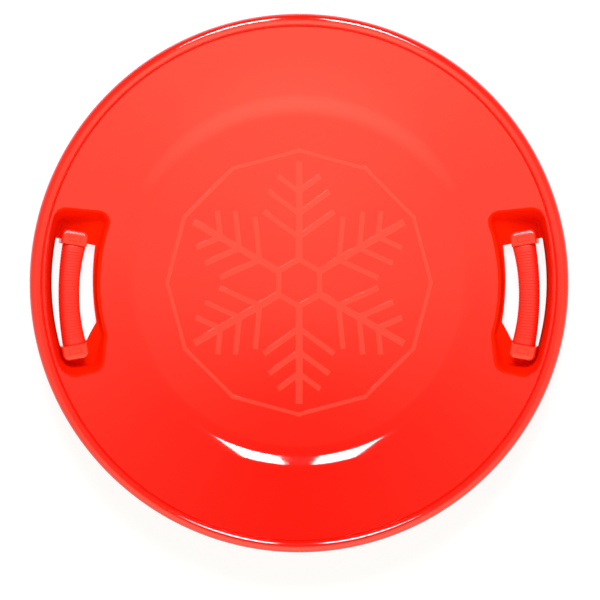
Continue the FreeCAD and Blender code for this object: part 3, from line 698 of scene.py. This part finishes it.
def make_cap(side, mirror, end, way):
    """The cap's outline carried up a profile of (inset, level): upright walls, a quarter round that reaches
    further in at the far end, and a flat top. On the top the outline is drawn in to the panel's rectangle,
    stepped down and closed."""
    around, wall_rows, round_rows = 112, 4, 8
    far_crowding, near_crowding = 2, 6
    half, quarter = cap_width / 2, np.pi / 2
    far, near = cap_far_round, cap_near_round
    corners = [
        ((half - far, cap_length - far), far, 0, quarter, far_crowding),
        ((far - half, cap_length - far), far, quarter, 2 * quarter, far_crowding),
        ((near - half, near), near, 2 * quarter, 3 * quarter, near_crowding),
        ((half - near, near), near, 3 * quarter, 4 * quarter, near_crowding),
    ]
    edge, normal = rounded_outline(corners, (), (around,))
    turn = np.linspace(0, quarter, round_rows)
    wall_level = np.linspace(0, cap_height - cap_top_round, wall_rows, endpoint=False)
    round_level = cap_height - cap_top_round * (1 - np.sin(turn))
    reach = cap_top_round + (cap_far_slope - cap_top_round) * np.maximum(normal[:, 1], 0) ** 2
    inset = np.concatenate([np.zeros_like(wall_level), 1 - np.cos(turn)])[:, None] * reach
    inset = np.minimum(inset, np.where(edge[:, 1] < near, near, np.inf))
    rising = edge - normal * inset[..., None]
    middle = np.array((0, (cap_length - cap_top_round) / 2))
    panel_half = np.array((panel_width, panel_length)) / 2
    brim = middle + np.clip(edge - middle, -panel_half, panel_half)
    tray = middle + np.clip(edge - middle, -panel_half + panel_depth, panel_half - panel_depth)
    tray_level = cap_height - panel_depth
    closing = np.broadcast_to(middle, edge.shape)
    loops = np.concatenate([closing[None], rising, [brim, tray, closing]])
    level = np.concatenate([[0], wall_level, round_level, [cap_height, tray_level, tray_level]])
    plan = beside_grip(loops[..., 0], way * loops[..., 1], way * grip_length / 2 / grip_arc)
    points = handle_to_sled(plan, level[:, None]) * (mirror, 1, 1)
    piece = build_piece(f"{side}_{end}_cover", [(points.reshape(-1, 3), strip_faces(*points.shape[:2]))])
    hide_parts(f"{side}_{end}_cap")
    return piece


cap_red, cap_red_pale = (0.88, 0.020, 0.007), (0.92, 0.026, 0.010)
cap_plastic = moulded_plastic(
    "cap_red", cap_red, cap_red_pale, roughness=0.24, haze=0.06, grain=3e-6, index=1.7
)
for side, mirror in sides.items():
    for end, way in {"front": 1, "rear": -1}.items():
        make_cap(side, mirror, end, way).data.materials.append(cap_plastic)

# The floor is a wide pale sheet of paper that lies flat under the dish. It shows white to the camera and in
# reflections, and keeps a faint shadow.
floor_half, floor_drop = 6.0, 0.0003
floor_glow, floor_paint = 0.80, (0.27, 0.27, 0.33)
floor_corners = floor_half * np.array(((-1, -1), (1, -1), (1, 1), (-1, 1)))
floor_mesh = bpy.data.meshes.new("floor")
floor_mesh.from_pydata([(x, y, -floor_drop) for x, y in floor_corners], [], [(0, 1, 2, 3)])
floor = bpy.data.objects.new("floor", floor_mesh)
bpy.context.scene.collection.objects.link(floor)
floor_paper = bpy.data.materials.new("floor_paper")
floor_paper.use_nodes = True
paper_nodes = floor_paper.node_tree.nodes
paper_nodes.remove(paper_nodes["Principled BSDF"])
paper = Finish(floor_paper.node_tree)
seen = paper.other("ShaderNodeLightPath", {}, {}, "Is Camera Ray")
mirrored = paper.other("ShaderNodeLightPath", {}, {}, "Is Glossy Ray")
through = paper.other("ShaderNodeLightPath", {}, {}, "Is Transmission Ray")
glow = paper.other("ShaderNodeEmission", {}, {"Strength": floor_glow * (seen + mirrored + through)})
paint = paper.other("ShaderNodeBsdfDiffuse", {}, {"Color": (*floor_paint, 1)})
both = paper.other("ShaderNodeAddShader", {}, {0: glow, 1: paint})
floor_paper.node_tree.links.new(both.socket, paper_nodes["Material Output"].inputs["Surface"])
floor_mesh.materials.append(floor_paper)

# Two softboxes stand at the front of the sled, one on each side of the middle, and look down into the dish.
# Each is an evenly bright rectangle, whose power is its brightness times pi times its area.
softbox_distance, softbox_lean, softbox_gap = 1.8, float(np.radians(34)), 0.20
softbox_size, softbox_brightness = (0.33, 0.66), 20.0
for side, way in sides.items():
    lamp = bpy.data.lights.new(f"softbox_{side}", "AREA")
    lamp.shape, lamp.size, lamp.size_y = "RECTANGLE", *softbox_size
    lamp.energy = softbox_brightness * np.pi * softbox_size[0] * softbox_size[1]
    box = bpy.data.objects.new(lamp.name, lamp)
    ahead, up = softbox_distance * np.sin(softbox_lean), softbox_distance * np.cos(softbox_lean)
    box.location = (way * (softbox_gap + softbox_size[0]) / 2, ahead, up)
    box.rotation_euler = (-softbox_lean, 0, 0)
    box.visible_camera = False
    bpy.context.scene.collection.objects.link(box)

# The surround is a room in warm grey. It is bright at the rear, with a brighter patch half-way up, and dims
# with the bearing towards the front. The camera itself sees plain white there.
overhead_blend = 0.05
rear_brightness = {-1: 1.12, -0.87: 1.03, -0.7: 0.88, -0.5: 0.80, -0.26: 0.76, -0.1: 0.64}
front_brightness = {0: 0.60, 0.26: 0.48, 0.5: 0.35, 0.7: 0.25, 0.87: 0.19, 1: 0.11}
ramp_top = 2.0
rear_glow, rear_glow_start = 2.2, 0.25
warm_grey = (1, 1, 0.68)
surround = bpy.data.worlds.new("surround")
bpy.context.scene.world = surround
surround.use_nodes = True
air = Finish(surround.node_tree)
direction = air.other("ShaderNodeTexCoord", {}, {}, "Generated")
sideways, forward, upward = (
    air.other("ShaderNodeSeparateXYZ", {}, {"Vector": direction}, axis) for axis in ("X", "Y", "Z")
)
flat_length = air.maths("SQRT", sideways * sideways + forward * forward + overhead_blend**2)
bearing = forward / flat_length
brightness_by_bearing = {**rear_brightness, **front_brightness}
stops = [((place + 1) / 2, level / ramp_top) for place, level in brightness_by_bearing.items()]
ramp = air.other("ShaderNodeValToRGB", {"stops": stops}, {"Fac": (bearing + 1) / 2}, "Color")
rear_patch = air.maths("MAXIMUM", 0 - forward * upward - rear_glow_start, 0.0)
brightness = ramp + rear_glow / ramp_top * rear_patch
warmed = air.other("ShaderNodeVectorMath", {"operation": "SCALE"}, {0: warm_grey, "Scale": brightness})
camera_ray = air.other("ShaderNodeLightPath", {}, {}, "Is Camera Ray")
light = air.other("ShaderNodeBackground", {}, {"Color": warmed, "Strength": ramp_top})
white = air.other("ShaderNodeBackground", {}, {"Color": (1, 1, 1, 1), "Strength": 1.0})
chosen = air.other("ShaderNodeMixShader", {}, {0: camera_ray, 1: light, 2: white})
surround.node_tree.links.new(chosen.socket, surround.node_tree.nodes["World Output"].inputs["Surface"])

# The camera hangs almost straight over the dish, a little towards the front. Its aim and its lens put the
# rim's middle and the rim's size in the frame where the photo has them.
photo_pixels = 600
rim_middle_pixel = (299.1, 284.7)
metres_per_pixel = 0.0012293
camera_height, camera_forward = 2.338, 0.0706
aim_across = (photo_pixels / 2 - rim_middle_pixel[0]) * metres_per_pixel
aim_ahead = (rim_middle_pixel[1] - photo_pixels / 2) * metres_per_pixel
lens = bpy.data.cameras.new("camera")
lens.lens = lens.sensor_width * camera_height / (photo_pixels * metres_per_pixel)
camera = bpy.data.objects.new("camera", lens)
camera.location = (0, camera_forward, rim_top + camera_height)
sled_front = Vector((0, 1, 0))
backward = (camera.location - Vector((aim_across, aim_ahead, rim_top))).normalized()
rightward = sled_front.cross(backward).normalized()
camera.rotation_euler = Matrix((rightward, backward.cross(rightward), backward)).transposed().to_euler()
bpy.context.scene.collection.objects.link(camera)
bpy.context.scene.camera = camera
bpy.context.scene.view_settings.view_transform = "Standard"
